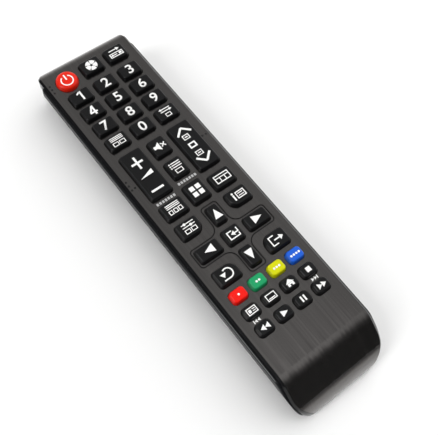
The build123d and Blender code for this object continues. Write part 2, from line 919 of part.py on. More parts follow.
cell_start = bay_tail + plate_thickness + battery_end_gap
first_cell = Pos(-battery_pitch / 2, cell_start + spring_room, battery_z)
second_cell = Pos(battery_pitch / 2, cell_start + battery_length, battery_z)
save("battery_1", first_cell * battery())
save("battery_2", second_cell * Rot(0, 0, 180) * battery())

x, y = power_place()
save("key_power", Pos(x, y, 0) * power_key())
for name, (x, y, plan) in key_table().items():
    save(name, Pos(x, y, 0) * press_key(plan))
for name, (x, y) in rocker_table().items():
    save(name, Pos(x, y, 0) * rocker())
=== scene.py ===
from math import cos, radians, sin

import bmesh
import bpy
from mathutils import Matrix, Vector


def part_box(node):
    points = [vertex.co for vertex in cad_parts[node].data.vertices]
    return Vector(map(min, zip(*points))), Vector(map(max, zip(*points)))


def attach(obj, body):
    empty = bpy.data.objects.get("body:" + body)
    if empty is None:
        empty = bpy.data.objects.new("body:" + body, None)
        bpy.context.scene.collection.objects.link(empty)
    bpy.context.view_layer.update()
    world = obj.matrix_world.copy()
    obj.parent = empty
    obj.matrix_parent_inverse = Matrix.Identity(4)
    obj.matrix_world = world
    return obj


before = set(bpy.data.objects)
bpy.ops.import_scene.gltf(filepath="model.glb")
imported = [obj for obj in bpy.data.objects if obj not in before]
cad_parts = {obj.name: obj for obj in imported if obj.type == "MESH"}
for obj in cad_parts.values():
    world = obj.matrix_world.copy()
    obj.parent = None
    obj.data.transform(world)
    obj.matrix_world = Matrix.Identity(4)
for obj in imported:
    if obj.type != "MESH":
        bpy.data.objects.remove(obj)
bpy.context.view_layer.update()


# Lower case and battery door. Both are ABS, injection moulded in black with a fine spark-eroded
# grain that gives a soft satin sheen. The tub carries everything else, and the door hangs in it on
# two moulded pins.
MM_PER_M = 1000
ABS_BLACK = "#17171a"
ABS_GRAIN_MM = 0.35
ABS_ROUGHNESS = 0.44
NOISE_SPAN = {"From Min": 0.3, "From Max": 0.7}  # most of a noise lies in here
RIM_FOOT_M = 0.0182
RIM_FADE_M = 0.0002
RIM_SMOOTHED = 0.2


def linear(code):
    """An sRGB hex colour as the linear colour that a shader takes."""
    parts = [int(code[place:place + 2], 16) / 255 for place in (1, 3, 5)]
    parts = [part / 12.92 if part <= 0.04045 else ((part + 0.055) / 1.055) ** 2.4 for part in parts]
    return (*parts, 1.0)


def add(material, kind, links=None, values=None, **settings):
    """Adds a shader node with its settings, its socket values and its links."""
    made = material.node_tree.nodes.new(kind)
    for name, value in settings.items():
        setattr(made, name, value)
    for name, value in (values or {}).items():
        made.inputs[name].default_value = value
    for name, output in (links or {}).items():
        material.node_tree.links.new(output, made.inputs[name])
    return made


def finish(name, values):
    """A new material and its surface shader with these values on its sockets."""
    material = bpy.data.materials.new(name)
    material.use_nodes = True
    surface = material.node_tree.nodes["Principled BSDF"]
    for socket, value in values.items():
        surface.inputs[socket].default_value = value
    return material, surface


def join(material, output, node, socket):
    """Links an output to a socket of a node that is already there."""
    material.node_tree.links.new(output, node.inputs[socket])


def moulded(name, colour, grain_mm, roughness, contrast=0.05, height_mm=0.02, **more):
    """A material whose gloss and surface waver a little with the grain of its mould or plating."""
    values = {"Base Color": linear(colour), "Roughness": roughness, "IOR": 1.5}
    values.update({key.replace("_", " "): value for key, value in more.items()})
    material, surface = finish(name, values)
    place = add(material, "ShaderNodeTexCoord")
    grain = add(
        material, "ShaderNodeTexNoise", {"Vector": place.outputs["Object"]},
        {"Scale": MM_PER_M / grain_mm, "Detail": 3.0, "Roughness": 0.6},
    )
    gloss = add(
        material, "ShaderNodeMapRange", {"Value": grain.outputs["Fac"]},
        {**NOISE_SPAN, "To Min": roughness - contrast, "To Max": roughness + contrast},
    )
    join(material, gloss.outputs["Result"], surface, "Roughness")
    bump = add(
        material, "ShaderNodeBump", {"Height": grain.outputs["Fac"]},
        {"Strength": 0.35, "Distance": height_mm / MM_PER_M},
    )
    join(material, bump.outputs["Normal"], surface, "Normal")
    return material


def wear(node, material):
    """Gives a part of the frame its material."""
    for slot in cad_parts[node].material_slots:
        slot.material = material


wear("battery_door", moulded("spark_eroded_abs", ABS_BLACK, ABS_GRAIN_MM, ABS_ROUGHNESS))

# The standing rim was polished in the mould: above its foot the same plastic keeps only a fifth of
# its roughness, so it is glossy.
rimmed_abs = moulded(
    "spark_eroded_abs_polished_rim", ABS_BLACK, ABS_GRAIN_MM, ABS_ROUGHNESS, Specular_IOR_Level=0.36,
)
place = add(rimmed_abs, "ShaderNodeTexCoord")
axes = add(rimmed_abs, "ShaderNodeSeparateXYZ", {"Vector": place.outputs["Object"]})
above = add(
    rimmed_abs, "ShaderNodeMapRange", {"Value": axes.outputs["Z"]},
    {"From Min": RIM_FOOT_M - RIM_FADE_M, "From Max": RIM_FOOT_M, "To Min": 1.0, "To Max": RIM_SMOOTHED},
)
surface = rimmed_abs.node_tree.nodes["Principled BSDF"]
grained = surface.inputs["Roughness"].links[0].from_socket
eased = add(
    rimmed_abs, "ShaderNodeMath", {0: grained, 1: above.outputs["Result"]}, operation="MULTIPLY",
)
join(rimmed_abs, eased.outputs[0], surface, "Roughness")
wear("lower_case", rimmed_abs)


# Batteries and contacts. The cells are steel cans in a shrunk printed sleeve, plain grey with a
# copper band at the nub end, and shine like lacquered metal. The contacts are nickel-plated spring
# steel, stamped and coiled, and look bright and a little warm.
SLEEVE_GREY = "#4a4d52"
SLEEVE_COPPER = "#b0703c"
COPPER_BAND_M = 0.011
NICKEL = "#c9c7c0"


def sleeve(node, towards_head):
    """A shrunk sleeve with its copper band at the nub end of one cell."""
    material, surface = finish(
        f"shrunk_sleeve_{node}", {"Roughness": 0.32, "Metallic": 0.35, "IOR": 1.5},
    )
    low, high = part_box(node)
    split = high.y - COPPER_BAND_M if towards_head else low.y + COPPER_BAND_M
    place = add(material, "ShaderNodeTexCoord")
    axes = add(material, "ShaderNodeSeparateXYZ", {"Vector": place.outputs["Object"]})
    side = add(
        material, "ShaderNodeMath", {0: axes.outputs["Y"]}, {1: split},
        operation="GREATER_THAN" if towards_head else "LESS_THAN",
    )
    colour = add(
        material, "ShaderNodeMix", {0: side.outputs[0]},
        {6: linear(SLEEVE_GREY), 7: linear(SLEEVE_COPPER)}, data_type="RGBA",
    )
    join(material, colour.outputs[2], surface, "Base Color")
    wear(node, material)


sleeve("battery_1", True)
sleeve("battery_2", False)

nickel = moulded(
    "nickel_plated_steel", NICKEL, grain_mm=0.6, roughness=0.26, contrast=0.06, height_mm=0.01,
    Metallic=1.0,
)
for name in ("negative_contact", "positive_contact", "bridge_contact"):
    wear(name, nickel)


# Circuit board and what hangs under it. The board is glass-fibre laminate under glossy green solder
# mask, where the tracks show as lighter strips. The chip and the transistor are moulded epoxy, the
# resonator is dipped in lacquer, and the lamp is a clear cast epoxy dome.
MASK_GREEN = "#1d5a34"
MASK_TRACK = "#2f7d4b"
TRACK_MM = 1.6
EPOXY_BLACK = "#1a1a1b"
RESONATOR_BLUE = "#2a4f9e"
CAN_SLEEVE = "#2b2c3a"
LAMP_TINT = "#dfe4f5"

solder_mask, surface = finish("solder_mask_green", {"Roughness": 0.3, "IOR": 1.5})
place = add(solder_mask, "ShaderNodeTexCoord")
tracks = add(
    solder_mask, "ShaderNodeTexBrick", {"Vector": place.outputs["Object"]},
    {
        "Color1": linear(MASK_TRACK), "Color2": linear(MASK_TRACK), "Mortar": linear(MASK_GREEN),
        "Scale": MM_PER_M / TRACK_MM, "Mortar Size": 0.12, "Brick Width": 3.0, "Row Height": 0.7,
    },
)
join(solder_mask, tracks.outputs["Color"], surface, "Base Color")
wear("circuit_board", solder_mask)

wear("controller_chip", moulded("moulded_epoxy", EPOXY_BLACK, grain_mm=0.25, roughness=0.5))
wear("driver_transistor", moulded(
    "moulded_epoxy_gloss", EPOXY_BLACK, grain_mm=0.4, roughness=0.35,
))
wear("ceramic_resonator", moulded(
    "dipped_lacquer_blue", RESONATOR_BLUE, grain_mm=0.8, roughness=0.2, contrast=0.04,
))
wear("capacitor", moulded(
    "shrunk_pvc_sleeve", CAN_SLEEVE, grain_mm=0.8, roughness=0.3, contrast=0.04,
))
wear("infrared_led", moulded(
    "cast_clear_epoxy", LAMP_TINT, grain_mm=1.5, roughness=0.08, contrast=0.02,
    Transmission_Weight=0.85,
))


# Keypad mat. It is compression-moulded silicone rubber, grey and quite matt, one sheet with a
# raised collar round each plunger. It lies on the board.
SILICONE_GREY = "#54565a"

wear("keypad_mat", moulded(
    "silicone_rubber", SILICONE_GREY, grain_mm=0.5, roughness=0.7, contrast=0.06, height_mm=0.03,
))


# Lid. It is polished black ABS, moulded against a mirror-finished tool, so its bevel reflects like
# dark glass. Its deck is glued under the face.
LID_BLACK = "#0d0d0f"

wear("upper_case", moulded(
    "polished_abs", LID_BLACK, grain_mm=4.0, roughness=0.12, contrast=0.02, height_mm=0.004,
    Specular_IOR_Level=0.3,
))


# Face. It is thin aluminium sheet, brushed lengthwise, anodised dark grey under a clear coat and
# formed down over the tail end. Brushing gives the eye hairlines and a soft long sheen. Hairlines
# of 0.1 mm are drawn 0.3 mm wide, and their bundles as broad streaks, both coarser to show.
ANODISED_GREY = "#625f5d"
ANODISED_LIGHT = "#7d7a78"
HAIRLINE_MM = 0.3
HAIRLINE_LENGTH_MM = 40.0
STREAK_MM = 1.1
STREAK_LENGTH_MM = 90.0

brushed, surface = finish(
    "brushed_anodised_aluminium",
    {"Base Color": linear(ANODISED_GREY), "Metallic": 1.0, "Coat Weight": 1.0, "Coat Roughness": 0.18},
)
place = add(brushed, "ShaderNodeTexCoord")
axes = add(brushed, "ShaderNodeSeparateXYZ", {"Vector": place.outputs["Object"]})
lines = []
for width, length, detail, roughness in (
    (HAIRLINE_MM, HAIRLINE_LENGTH_MM, 2.0, 0.6), (STREAK_MM, STREAK_LENGTH_MM, 1.0, 0.5),
):
    stretched = add(
        brushed, "ShaderNodeMapping", {"Vector": place.outputs["Object"]},
        {"Scale": (MM_PER_M / width, MM_PER_M / length, MM_PER_M / length)},
    )
    lines.append(add(
        brushed, "ShaderNodeTexNoise", {"Vector": stretched.outputs["Vector"]},
        {"Scale": 1.0, "Detail": detail, "Roughness": roughness},
    ))
hairlines, streaks = lines
tone = add(
    brushed, "ShaderNodeMix", {0: hairlines.outputs["Fac"]},
    {6: linear(ANODISED_GREY), 7: linear(ANODISED_LIGHT)}, data_type="RGBA",
)

# Painted shade: the stamped edges of the sheet and of its openings are coloured near black, as the
# shade in the gaps round the keys and in the groove: whatever lies below the top skin between the two
# bent ends, and whatever faces sideways, so that those edges show no reflection.
GAP_SHADE_BLACK = "#0b0b0b"
SHADE_TOP_M = 0.0203
SHADE_FADE_M = 0.0001
FLAT_FROM_M = -0.0755
FLAT_TO_M = 0.089
SIDE_NORMAL = 0.35

above_shade = add(
    brushed, "ShaderNodeMapRange", {"Value": axes.outputs["Z"]},
    {"From Min": SHADE_TOP_M - SHADE_FADE_M, "From Max": SHADE_TOP_M, "To Min": 0.0, "To Max": 1.0},
)
tail_part = add(
    brushed, "ShaderNodeMath", {0: axes.outputs["Y"]}, {1: FLAT_FROM_M}, operation="LESS_THAN",
)
head_part = add(
    brushed, "ShaderNodeMath", {0: axes.outputs["Y"]}, {1: FLAT_TO_M}, operation="GREATER_THAN",
)
skin = above_shade.outputs["Result"]
for part in (head_part, tail_part):
    skin = add(
        brushed, "ShaderNodeMath", {0: part.outputs[0], 1: skin}, operation="MAXIMUM",
    ).outputs[0]
facing = add(brushed, "ShaderNodeNewGeometry")
turned = add(brushed, "ShaderNodeSeparateXYZ", {"Vector": facing.outputs["Normal"]})
sideways = add(brushed, "ShaderNodeMath", {0: turned.outputs["X"]}, operation="ABSOLUTE")
level = add(
    brushed, "ShaderNodeMath", {0: sideways.outputs[0]}, {1: SIDE_NORMAL}, operation="LESS_THAN",
)
unshaded = add(brushed, "ShaderNodeMath", {0: skin, 1: level.outputs[0]}, operation="MULTIPLY")
# Mixes in the painted shade: near black in the gaps, the groove and on the sideways edges.
shaded_tone = add(
    brushed, "ShaderNodeMix", {0: unshaded.outputs[0], 7: tone.outputs[2]},
    {6: linear(GAP_SHADE_BLACK)}, data_type="RGBA",
)
join(brushed, shaded_tone.outputs[2], surface, "Base Color")

# Forming stretched the sheet over the tail end, so it is rougher there.
TAIL_SMOOTH_M = 0.0125
TAIL_ROUGH_M = 0.0105
TAIL_ROUGHNESS = 0.32

scatter = add(
    brushed, "ShaderNodeMapRange", {"Value": hairlines.outputs["Fac"]},
    {**NOISE_SPAN, "To Min": 0.16, "To Max": 0.24},
)
drawn = add(
    brushed, "ShaderNodeMapRange", {"Value": axes.outputs["Z"]},
    {"From Min": TAIL_ROUGH_M, "From Max": TAIL_SMOOTH_M, "To Min": TAIL_ROUGHNESS, "To Max": 0.0},
)
gloss = add(
    brushed, "ShaderNodeMath", {0: scatter.outputs["Result"], 1: drawn.outputs["Result"]},
    operation="ADD",
)
join(brushed, gloss.outputs[0], surface, "Roughness")

# The streaks lean the skin a little along the remote. They lean most where the sheet starts to bend,
# so they show there as light and dark lines, and hardly at all on the slope past the bend.
STREAK_LEAN = 0.04
BEND_FROM_M = -0.071
BEND_TO_M = -0.0785
# Each change of lean: where it starts, how far towards the tail it takes, and how many times it gives.
LEANS = ((BEND_FROM_M, 0.0035, 2.4), (BEND_TO_M, 0.004, 0.1))

lean_y = add(
    brushed, "ShaderNodeMapRange", {"Value": streaks.outputs["Fac"]},
    {**NOISE_SPAN, "To Min": -STREAK_LEAN, "To Max": STREAK_LEAN},
).outputs["Result"]
for start, fade, times in LEANS:
    share = add(
        brushed, "ShaderNodeMapRange", {"Value": axes.outputs["Y"]},
        {"From Min": start - fade, "From Max": start, "To Min": times, "To Max": 1.0},
    )
    lean_y = add(
        brushed, "ShaderNodeMath", {0: lean_y, 1: share.outputs["Result"]}, operation="MULTIPLY",
    ).outputs[0]
lean = add(brushed, "ShaderNodeCombineXYZ", {"Y": lean_y})
scratches = add(
    brushed, "ShaderNodeBump", {"Height": hairlines.outputs["Fac"]},
    {"Strength": 0.11, "Distance": 0.02 / MM_PER_M},
)
leaning = add(
    brushed, "ShaderNodeVectorMath", {0: scratches.outputs["Normal"], 1: lean.outputs["Vector"]},
    operation="ADD",
)
evened = add(brushed, "ShaderNodeVectorMath", {0: leaning.outputs["Vector"]}, operation="NORMALIZE")
join(brushed, evened.outputs["Vector"], surface, "Normal")
wear("face_panel", brushed)


# Head cap. It is smoked acrylic that looks black and lets infrared light through, moulded with a
# mirror finish and pushed into the case by its tongue.
SMOKED = "#0c0b0e"

wear("infrared_window", moulded(
    "smoked_acrylic", SMOKED, grain_mm=5.0, roughness=0.08, contrast=0.02, height_mm=0.004,
    Coat_Weight=0.4,
))


# Keys. They are black silicone keys with a hard satin lacquer, so their rounded edges catch a
# soft grey light. The colour keys and the power key are tinted and have a gloss lacquer.
KEY_BLACK = "#101011"
KEY_COLOURS = {
    "key_power": "#e2220d",
    "key_red": "#ee160b",
    "key_green": "#1e9b62",
    "key_yellow": "#d2d300",
    "key_blue": "#1d5dcf",
}

satin_lacquer = moulded(
    "satin_lacquer_black", KEY_BLACK, grain_mm=0.5, roughness=0.36, contrast=0.05, height_mm=0.012,
    Specular_IOR_Level=0.3,
)
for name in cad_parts:
    if name in KEY_COLOURS:
        wear(name, moulded(
            f"gloss_lacquer_{name[4:]}", KEY_COLOURS[name], grain_mm=1.2, roughness=0.3,
            contrast=0.03, height_mm=0.01, Specular_IOR_Level=0.25,
        ))
    elif name.startswith("key_"):
        wear(name, satin_lacquer)


# Printing on the keys. It is white epoxy ink, pad printed in one thin film that lies on the lacquer,
# flat and a little chalky. Each film rides on its key and is drawn in millimetres round the middle
# of the key's top, X to the right and Y towards the head end.
INK_WHITE = "#f4f4f2"
INK_BLACK = "#101010"
FILM_MM = 0.03
FILM_SINK_MM = 0.01
FILM_MERGE_MM = 0.0005
STROKE_STEP_MM = 0.002
DISC_SIDES = 32
ARC_STEP_DEG = 9
WINDOW_GAP_MM = 0.4
WINDOW_LINE_MM = 0.36

white_ink = moulded(
    "pad_printed_white_ink", INK_WHITE, grain_mm=0.6, roughness=0.5, contrast=0.06, height_mm=0.01,
)
black_ink = moulded(
    "pad_printed_black_ink", INK_BLACK, grain_mm=0.6, roughness=0.5, contrast=0.06, height_mm=0.01,
)


def key_top(node):
    """The middle of a key's top, in metres."""
    low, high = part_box(node)
    return Vector(((low.x + high.x) / 2, (low.y + high.y) / 2, high.z))


def step_strokes(film):
    """Ends each stroke a hair higher than the one before, so that crossing strokes share no surface."""
    seen = set()
    count = 0
    for start in film.verts:
        if start in seen:
            continue
        seen.add(start)
        stroke = [start]
        for point in stroke:
            for edge in point.link_edges:
                other = edge.other_vert(point)
                if other not in seen:
                    seen.add(other)
                    stroke.append(other)
        tops = [point for point in stroke if point.co.z > FILM_MM / 2]
        bmesh.ops.translate(film, verts=tops, vec=(0, 0, count * STROKE_STEP_MM))
        count += 1


def lay(film, name, body, place, ink):
    """Gives a flat film its thickness, lays it on its place and lets it ride on a body."""
    bmesh.ops.remove_doubles(film, verts=film.verts, dist=FILM_MERGE_MM)
    sheet = bmesh.ops.extrude_face_region(film, geom=list(film.faces))
    risen = [part for part in sheet["geom"] if isinstance(part, bmesh.types.BMVert)]
    bmesh.ops.translate(film, verts=risen, vec=(0, 0, FILM_MM))
    step_strokes(film)
    bmesh.ops.recalc_face_normals(film, faces=film.faces)
    sunk = Matrix.Translation(place - Vector((0, 0, FILM_SINK_MM / MM_PER_M)))
    bmesh.ops.transform(film, matrix=sunk @ Matrix.Scale(1 / MM_PER_M, 4), verts=film.verts)
    mesh = bpy.data.meshes.new(name)
    film.to_mesh(mesh)
    film.free()
    piece = bpy.data.objects.new(name, mesh)
    bpy.context.scene.collection.objects.link(piece)
    mesh.materials.append(ink)
    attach(piece, body)


def print_key(name, draw, *choice):
    """Draws a symbol or a number and prints it in white on the middle of a key's top."""
    film = bmesh.new()
    draw(film, *choice)
    lay(film, f"print_{name[4:]}", name, key_top(name), white_ink)


def bar(film, x, y, width, height, turn=0):
    """A filled rectangle, turned about its middle by degrees."""
    place = Matrix.Translation((x, y, 0)) @ Matrix.Rotation(radians(turn), 4, "Z")
    place = place @ Matrix.Diagonal((width, height, 1, 1))
    bmesh.ops.create_grid(film, x_segments=1, y_segments=1, size=0.5, matrix=place)


def disc(film, x, y, radius):
    """A filled circle."""
    place = Matrix.Translation((x, y, 0))
    bmesh.ops.create_circle(film, cap_ends=True, segments=DISC_SIDES, radius=radius, matrix=place)


def arc(film, x, y, outer, inner, start, sweep):
    """A stroke along a circle, from a start angle over a sweep, both in degrees."""
    way_x, way_y = cos(radians(start)), sin(radians(start))
    ends = [film.verts.new((x + reach * way_x, y + reach * way_y, 0)) for reach in (inner, outer)]
    edge = film.edges.new(ends)
    bmesh.ops.spin(
        film, geom=ends + [edge], cent=(x, y, 0), axis=(0, 0, 1), angle=radians(sweep),
        steps=int(sweep / ARC_STEP_DEG),
    )


def patch(film, *points):
    """A filled outline through a few points."""
    film.faces.new([film.verts.new((x, y, 0)) for x, y in points])


def wedge(film, x, width, height):
    """A triangle from x that narrows along +X over its width, or along -X where that is below 0."""
    patch(film, (x, height / 2), (x, -height / 2), (x + width, 0))


def window(film, x, y, width, height, line):
    """A rectangle drawn with a line."""
    place = Matrix.Translation((x, y, 0)) @ Matrix.Diagonal((width, height, 1, 1))
    made = bmesh.ops.create_grid(film, x_segments=1, y_segments=1, size=0.5, matrix=place)
    face = made["verts"][0].link_faces[0]
    bmesh.ops.inset_region(film, faces=[face], thickness=line, use_boundary=True, use_even_offset=True)
    bmesh.ops.delete(film, geom=[face], context="FACES_ONLY")


def windows(film, y, width, height, count):
    """A centred row of small rectangles drawn with a line."""
    for index in range(count):
        x = (index - (count - 1) / 2) * (width + WINDOW_GAP_MM)
        window(film, x, y, width, height, WINDOW_LINE_MM)


def open_ring(film):
    arc(film, -0.1, -0.55, 3.0, 2.4, 122, 296)
    bar(film, -0.1, 1.3, 0.7, 3.0)


def ball(film):
    disc(film, 0, -0.1, 2.8)


def ball_spots(film):
    """The dark spots and seams over the white ball."""
    disc(film, 0, -0.1, 0.62)
    for index in range(5):
        angle = 90 + 360 / 5 * index
        x, y = cos(radians(angle)), sin(radians(angle))
        bar(film, 1.35 * x, 1.35 * y - 0.1, 1.5, 0.12, angle)
        disc(film, 2.4 * x, 2.4 * y - 0.1, 0.33)


def arrow_to_box(film):
    bar(film, -0.5, 1.55, 4.2, 0.5)
    patch(film, (1.3, 2.5), (1.3, 0.6), (2.9, 1.55))
    window(film, 0, -1.2, 6.8, 2.5, 0.45)
    bar(film, -1.0, -1.2, 2.6, 0.45)
    patch(film, (-2.9, -1.2), (-1.9, -0.5), (-1.9, -1.9))
    bar(film, 1.9, -1.2, 1.4, 1.1)


def lines_over_two_boxes(film):
    for y in (2.1, 1.35, 0.6):
        bar(film, 0, y, 6.2, 0.4)
    windows(film, -1.4, 2.8, 2.0, 2)


def two_way_arrows(film):
    bar(film, 0.4, 1.95, 4.4, 0.45)
    patch(film, (-3.0, 1.95), (-1.7, 2.65), (-1.7, 1.25))
    bar(film, -0.4, 0.7, 4.4, 0.45)
    patch(film, (3.0, 0.7), (1.7, 1.4), (1.7, 0.0))
    windows(film, -1.55, 2.8, 1.9, 1)


def crossed_horn(film):
    patch(film, (-2.9, -0.9), (-1.5, -0.9), (0.2, -2.3), (0.2, 2.1), (-1.5, 0.7), (-2.9, 0.7))
    bar(film, 1.8, -0.1, 2.8, 0.5, 45)
    bar(film, 1.8, -0.1, 2.8, 0.5, -45)


def dotted_lines(film):
    for y in (2.3, 1.2, 0.1):
        disc(film, -2.5, y, 0.36)
        bar(film, 0.4, y, 4.4, 0.45)
    windows(film, -2.0, 3.6, 2.1, 1)


def lines_over_three_boxes(film):
    for y in (2.3, 1.5, 0.7):
        bar(film, 0, y, 6.4, 0.42)
    windows(film, -1.3, 1.9, 2.1, 3)


def four_squares(film):
    for x in (-1.5, 1.5):
        for y in (-1.5, 1.5):
            bar(film, x, y, 2.2, 2.2)


def ruled_table(film):
    window(film, 0, 0, 7.4, 4.0, 0.45)
    bar(film, 0, 0.5, 6.6, 0.42)
    bar(film, -1.2, -0.75, 0.42, 2.1)
    bar(film, 1.2, -0.75, 0.42, 2.1)


def sliders(film):
    for y, x in ((2.1, -1.2), (0.75, 1.2)):
        bar(film, 0.2, y, 6.0, 0.4)
        disc(film, x, y, 0.62)
    windows(film, -1.35, 2.6, 2.0, 2)


def dotted_stem_and_page(film):
    disc(film, -2.2, 1.75, 0.5)
    bar(film, -2.2, -0.35, 0.75, 2.8)
    window(film, 1.3, 0.1, 4.4, 3.4, 0.45)
    bar(film, 1.3, 0.7, 2.6, 0.4)
    bar(film, 1.3, -0.4, 2.6, 0.4)


def turning_arrow(film):
    arc(film, 0.2, 0, 2.5, 1.9, -90, 215)
    patch(film, (-3.2, 0.9), (-0.4, 0.9), (-1.8, -1.1))
    bar(film, -1.3, -2.2, 3.0, 0.6)


def way_out(film):
    bar(film, -2.9, 0, 0.55, 4.6)
    bar(film, -1.5, 2.05, 2.4, 0.5)
    bar(film, -1.5, -2.05, 2.4, 0.5)
    bar(film, 0.4, 0, 3.2, 0.6)
    wedge(film, 1.6, 1.8, 2.7)


def way_in(film):
    bar(film, -2.4, -0.2, 0.55, 3.9)
    bar(film, -0.1, -1.9, 4.8, 0.5)
    bar(film, 2.3, -1.3, 0.55, 1.2)
    bar(film, -1.3, 1.5, 2.4, 0.5)
    patch(film, (-1.2, 0.0), (0.6, 1.15), (0.6, -1.15))
    bar(film, 1.6, 0.0, 2.0, 0.55)
    bar(film, 2.4, 0.95, 0.5, 1.9)


def arrow_head(film, turn):
    """A triangle that points to the head end, turned by degrees."""
    points = [(0, 2.3), (-1.95, -2.3), (1.95, -2.3)]
    angle = radians(turn)
    patch(film, *[(x * cos(angle) - y * sin(angle), x * sin(angle) + y * cos(angle)) for x, y in points])


def dots(film, count):
    """A centred row of dots."""
    for index in range(count):
        disc(film, (index - (count - 1) / 2) * 1.3, 0, 0.5)


def picture_page(film):
    window(film, 0, 0, 4.6, 3.0, 0.4)
    bar(film, -0.95, 0, 1.2, 1.4)
    bar(film, 0.95, 0.45, 1.4, 0.35)
    bar(film, 0.95, -0.4, 1.4, 0.35)


def page_with_foot_line(film):
    window(film, 0, 0, 4.6, 3.0, 0.4)
    bar(film, 0, -0.65, 3.0, 0.42)


def house(film):
    patch(film, (-2.0, -0.05), (2.0, -0.05), (0.0, 1.7))
    patch(film, (-1.5, -1.5), (-0.45, -1.5), (-0.45, -0.1), (-1.5, -0.1))
    patch(film, (0.45, -1.5), (1.5, -1.5), (1.5, -0.1), (0.45, -0.1))
    patch(film, (-0.45, -0.75), (0.45, -0.75), (0.45, -0.1), (-0.45, -0.1))


def square(film):
    bar(film, 0, 0, 2.2, 2.2)


def right_wedge(film):
    wedge(film, -1.4, 3.0, 2.7)


def two_stems(film):
    bar(film, -0.75, 0, 0.75, 2.6)
    bar(film, 0.75, 0, 0.75, 2.6)


def two_right_wedges(film):
    wedge(film, -2.0, 2.1, 2.6)
    wedge(film, 0.1, 2.1, 2.6)


def two_left_wedges(film):
    wedge(film, 2.0, -2.1, 2.6)
    wedge(film, -0.1, -2.1, 2.6)


def plus_and_minus(film):
    bar(film, -0.15, 5.9, 5.6, 1.0)
    bar(film, -0.15, 7.8, 1.0, 2.8)
    bar(film, -0.15, 4.0, 1.0, 2.8)
    patch(film, (-3.5, -1.8), (3.1, -1.6), (3.1, 0.6))
    bar(film, -0.2, -9.1, 6.0, 1.0)


def up_and_down(film):
    for sign, y in ((1, 9.6), (-1, -10.2)):
        for side in (-1, 1):
            bar(film, side * 1.75, y - sign * 1.7, 4.9, 1.0, -sign * side * 43)
    for y in (4.5, -5.1):
        window(film, -0.5, y, 3.3, 2.6, 0.42)
        bar(film, -0.5, y, 1.5, 0.5)
    window(film, -0.5, -0.3, 3.6, 2.9, 0.7)


SYMBOLS = {
    "key_power": open_ring, "key_favourites": ball, "key_input": arrow_to_box,
    "key_text": lines_over_two_boxes, "key_swap": two_way_arrows, "key_mute": crossed_horn,
    "key_list": dotted_lines, "key_menu": lines_over_three_boxes, "key_hub": four_squares,
    "key_guide": ruled_table, "key_tools": sliders, "key_info": dotted_stem_and_page,
    "key_return": turning_arrow, "key_exit": way_out, "key_enter": way_in,
    "key_manual": picture_page, "key_subtitle": page_with_foot_line, "key_home": house,
    "key_stop": square, "key_play": right_wedge, "key_pause": two_stems,
    "key_forward": two_right_wedges, "key_rewind": two_left_wedges,
    "key_volume": plus_and_minus, "key_channel": up_and_down,
}
for name, draw in SYMBOLS.items():
    print_key(name, draw)

film = bmesh.new()
ball_spots(film)
on_ball = key_top("key_favourites") + Vector((0, 0, FILM_MM / MM_PER_M))
lay(film, "print_favourites_spots", "key_favourites", on_ball, black_ink)

for name, turn in (("key_up", 0), ("key_left", 90), ("key_down", 180), ("key_right", 270)):
    print_key(name, arrow_head, turn)

# The numbers. The 1 and the 4 are drawn from listed bars and outlines, and the others are set in a
# plain typeface and made a little wider and heavier.
DIGIT_HEIGHT_MM = 5.0
DIGIT_TOP_MM = DIGIT_HEIGHT_MM / 2
DIGIT_WIDEN = 1.06
DIGIT_WEIGHT = 0.018


def one(film):
    bar(film, 0.45, 0, 0.9, DIGIT_HEIGHT_MM)
    patch(film, (-1.45, 1.6), (-1.45, 0.85), (0.0, 1.45), (0.45, DIGIT_TOP_MM), (0.0, DIGIT_TOP_MM))


def four(film):
    bar(film, 0.55, 0, 0.88, DIGIT_HEIGHT_MM)
    bar(film, -0.05, -1.1, 3.6, 0.8)
    patch(film, (-1.9, -0.7), (-0.85, -0.7), (0.1, 0.95), (0.1, DIGIT_TOP_MM))


def digit_shape(film, digit):
    """A digit in a plain typeface, brought to the common height and centred."""
    letter = bpy.data.curves.new(f"digit_{digit}", "FONT")
    letter.body = str(digit)
    letter.offset = DIGIT_WEIGHT
    letter.resolution_u = 6
    holder = bpy.data.objects.new(f"digit_{digit}", letter)
    bpy.context.scene.collection.objects.link(holder)
    bpy.context.view_layer.update()
    flat = bpy.data.meshes.new_from_object(holder)
    bpy.data.objects.remove(holder)
    film.from_mesh(flat)
    bpy.data.meshes.remove(flat)
    across = [point.co.x for point in film.verts]
    along = [point.co.y for point in film.verts]
    middle = Vector(((min(across) + max(across)) / 2, (min(along) + max(along)) / 2, 0))
    scale = DIGIT_HEIGHT_MM / (max(along) - min(along))
    bmesh.ops.translate(film, verts=film.verts, vec=-middle)
    bmesh.ops.scale(film, verts=film.verts, vec=(scale * DIGIT_WIDEN, scale, scale))


print_key("key_1", one)
print_key("key_4", four)
for count, name in enumerate(("key_red", "key_green", "key_yellow", "key_blue"), 1):
    print_key(name, dots, count)
for digit in (0, 2, 3, 5, 6, 7, 8, 9):
    print_key(f"key_{digit}", digit_shape, digit)


# Printing on the face. It is thin ink, screen printed straight on the brushed metal and quite matt:
# pale short bars over two of the keys, white skip marks between the lowest rows, and dark guide dots
# beside three keys. Places are in millimetres round the middle of the remote.
INK_PALE = "#b9b9b9"
INK_DARK = "#0e0e0f"
FACE_TOP_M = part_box("face_panel")[1].z
MARK_ROWS_MM = ((0.6, 11.6), (-12.5, 8.7))
MARKS_IN_ROW = 7
MARK_PITCH_MM = 1.4
MARK_WIDTH_MM = 0.95
MARK_HEIGHT_MM = 1.2
SKIP_Y_M = -0.0549
SKIP_X_MM = 14.8
GUIDE_DOTS_MM = (
    (-21.15, 85.35), (-21.15, 83.3), (-21.15, 81.1), (-21.45, 25.1), (-21.45, 22.95),
    (-21.45, 20.6), (-19.7, 20.9), (19.2, 25.3), (21.05, 25.2),
)
GUIDE_DOT_RADIUS_MM = 0.5

pale_ink = moulded("screen_printed_pale_ink", INK_PALE, grain_mm=0.6, roughness=0.55)
dark_ink = moulded("screen_printed_dark_ink", INK_DARK, grain_mm=0.6, roughness=0.55)

